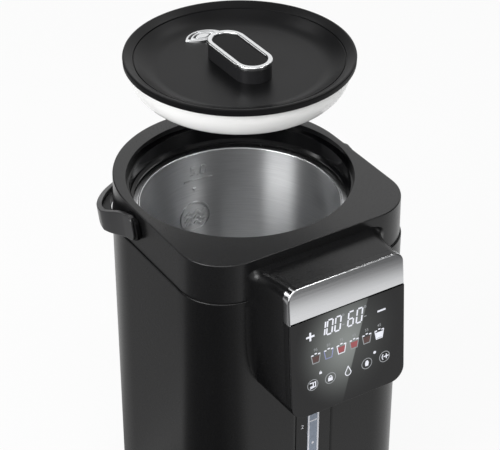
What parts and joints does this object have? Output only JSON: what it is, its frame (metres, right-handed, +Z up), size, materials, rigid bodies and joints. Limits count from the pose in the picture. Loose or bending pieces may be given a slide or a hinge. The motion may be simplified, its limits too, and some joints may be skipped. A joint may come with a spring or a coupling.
{
  "type": "electric thermo pot",
  "caption": "Tall black electric water boiler and warmer with a projecting touch panel and spout, level gauge, steel liner, bail handle and a lift-off round lid.",
  "frame": {"origin": "centre of the bounding box on the table, midway between the foot of the control panel and the back of the stored handle", "axes": "+Z up; -Y towards the control panel and spout; +X to the right when facing the panel"},
  "size_m": [0.2274, 0.291, 0.4573],
  "materials": {
    "body_black": "satin black moulded plastic",
    "collar_black": "satin black moulded plastic, a touch lighter",
    "pan_black": "fine-grained black plastic",
    "gloss_black": "polished black",
    "white_plastic": "smooth white plastic",
    "natural_plastic": "plain white plastic",
    "liner_steel": "fine brushed stainless steel",
    "plain_steel": "plain zinc plated steel",
    "band_metal": "fine brushed, clear coated",
    "chrome_trim": "bright plated",
    "black_rubber": "soft black rubber",
    "clear_silicone": "milky silicone",
    "grey_felt": "needled felt",
    "heater_metal": "cast",
    "element_steel": "heat darkened",
    "ceramic": "glazed",
    "sensor_copper": "plain",
    "clear_glass": "clear",
    "gauge_tint": "pale blue-grey window",
    "magnet_dark": "sintered",
    "board_green": "lacquered board",
    "winding_yellow": "taped winding",
    "relay_blue": "moulded case",
    "wire_grey": "cable sheath",
    "wire_brown": "wire insulation",
    "lead_white": "glass sleeve",
    "foam_grey": "closed foam"
  },
  "bodies": {
    "pot": {"outer_shell": "body_black", "base_pan": "pan_black", "feet": "black_rubber", "base_screws": "plain_steel", "top_collar": "collar_black", "collar_gasket": "black_rubber", "clamp_ring": "plain_steel", "clamp_screws": "plain_steel", "inner_liner": "liner_steel", "felt_jacket": "grey_felt", "liner_support": "natural_plastic", "heater_plate": "heater_metal", "heater_element": "element_steel", "heater_leads": "lead_white", "thermal_cutouts": "ceramic", "temperature_sensor": "sensor_copper", "outlet_elbow": "plain_steel", "strainer": "chrome_trim", "inlet_hose": "clear_silicone", "pump_housing": "natural_plastic", "pump_cover": "natural_plastic", "pump_motor": "plain_steel", "delivery_hose": "clear_silicone", "gauge_tube": "clear_glass", "gauge_panel": "gloss_black", "gauge_window": "gauge_tint", "valve_body": "natural_plastic", "spout_pipe": "clear_silicone", "spout_nozzle": "body_black", "control_housing": "body_black", "trim_band": "band_metal", "panel_glass": "gloss_black", "display_board": "board_green", "display_module": "white_plastic", "housing_screws": "plain_steel", "board_screws": "plain_steel", "display_cable": "wire_grey", "power_board": "board_green", "transformer": "winding_yellow", "relay": "relay_blue", "power_inlet": "pan_black", "mains_leads": "wire_brown", "left_hub": "pan_black", "right_hub": "pan_black"},
    "lid": {"lid_top": "collar_black", "lid_base": "white_plastic", "lid_seal": "black_rubber", "lid_foam": "foam_grey", "lid_screws": "plain_steel", "knob": "body_black", "knob_ring": "chrome_trim", "knob_inlay": "gloss_black", "steam_vent": "chrome_trim"},
    "handle": {"handle": "collar_black", "pin_clips": "plain_steel"},
    "pump_rotor": {"motor_shaft": "plain_steel", "drive_magnet": "magnet_dark", "impeller": "natural_plastic"},
    "tip_valve": {"valve_ball": "plain_steel"}
  },
  "joints": [
    {"name": "lid_lift", "type": "slide", "parent": "pot", "child": "lid", "axis": [0, 0, 1], "range_m": [-0.114, 0.03]},
    {"name": "handle_swing", "type": "hinge", "parent": "pot", "child": "handle", "pos_m": [0, 0.02132, 0.324], "axis": [1, 0, 0], "range_deg": [0, 60]},
    {"name": "pump_spin", "type": "hinge", "parent": "pot", "child": "pump_rotor", "pos_m": [-0.0105, -0.04668, 0.025], "axis": [0, 0, 1], "continuous": true},
    {"name": "valve_float", "type": "slide", "parent": "pot", "child": "tip_valve", "axis": [0, 0, 1], "range_m": [0, 0.0038]}
  ]
}
